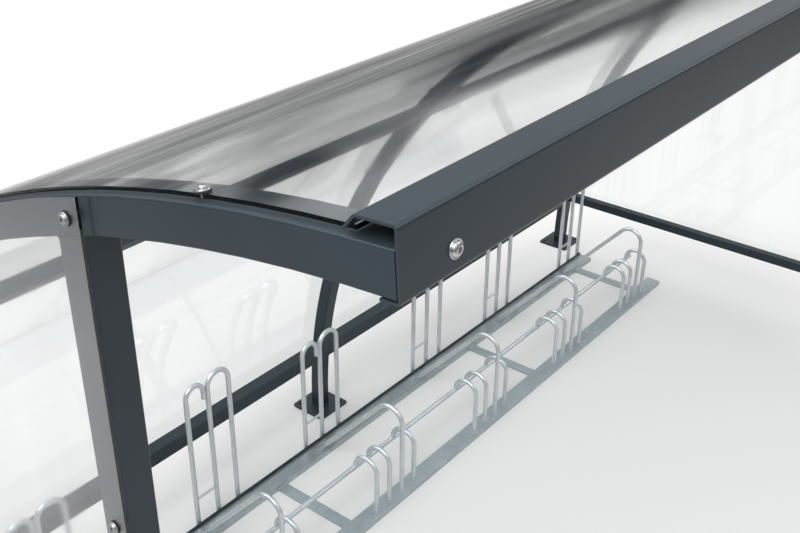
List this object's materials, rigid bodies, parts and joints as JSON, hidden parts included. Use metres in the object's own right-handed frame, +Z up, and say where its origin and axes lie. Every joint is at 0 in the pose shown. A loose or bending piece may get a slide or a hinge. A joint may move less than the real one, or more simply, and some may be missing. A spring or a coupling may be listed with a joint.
{
  "type": "bike shelter",
  "caption": "Open-fronted bicycle shelter: quarter-round tube frames on foot plates, clear curved roof, clear ends, a folded metal fascia and a rack inside.",
  "frame": {"origin": "on the ground, at the middle of the shelter's outline", "axes": "+X along the shelter, +Y from the open front to the back, +Z up"},
  "size_m": [4.06, 2.0534, 2.2079],
  "materials": {
    "frame_paint": "satin powder coat, anthracite grey",
    "fascia_paint": "satin powder coat, anthracite grey",
    "clear_sheet": "clear plastic sheet, glossy",
    "galvanised_steel": "hot-dip galvanised",
    "rubber": "black rubber"
  },
  "bodies": {
    "root": {"end_panel_left": "clear_sheet", "end_panel_right": "clear_sheet", "end_rail_left": "frame_paint", "end_rail_right": "frame_paint", "fascia": "fascia_paint", "fascia_bracket_left": "frame_paint", "fascia_bracket_middle": "frame_paint", "fascia_bracket_right": "frame_paint", "foot_plate_post_left": "frame_paint", "foot_plate_post_right": "frame_paint", "foot_plate_rear_left": "frame_paint", "foot_plate_rear_middle": "frame_paint", "foot_plate_rear_right": "frame_paint", "frame_left": "frame_paint", "frame_middle": "frame_paint", "frame_right": "frame_paint", "panel_spacers_left": "rubber", "panel_spacers_right": "rubber", "post_left": "frame_paint", "post_right": "frame_paint", "purlin_left": "frame_paint", "purlin_right": "frame_paint", "rack_back_bar": "frame_paint", "rack_cross_pieces": "galvanised_steel", "rack_low_bars_1": "galvanised_steel", "rack_low_bars_2": "galvanised_steel", "rack_low_bars_3": "galvanised_steel", "rack_low_bars_4": "galvanised_steel", "rack_low_bars_5": "galvanised_steel", "rack_low_bars_6": "galvanised_steel", "rack_rail_front": "galvanised_steel", "rack_rail_rear": "galvanised_steel", "rack_tall_hoops_1": "galvanised_steel", "rack_tall_hoops_2": "galvanised_steel", "rack_tall_hoops_3": "galvanised_steel", "rack_tall_hoops_4": "galvanised_steel", "rack_tall_hoops_5": "galvanised_steel", "rack_tall_hoops_6": "galvanised_steel", "rack_tie_rod": "galvanised_steel", "rear_rail_left": "frame_paint", "rear_rail_right": "frame_paint", "roof_sheet_left": "clear_sheet", "roof_sheet_right": "clear_sheet"}
  },
  "joints": []
}
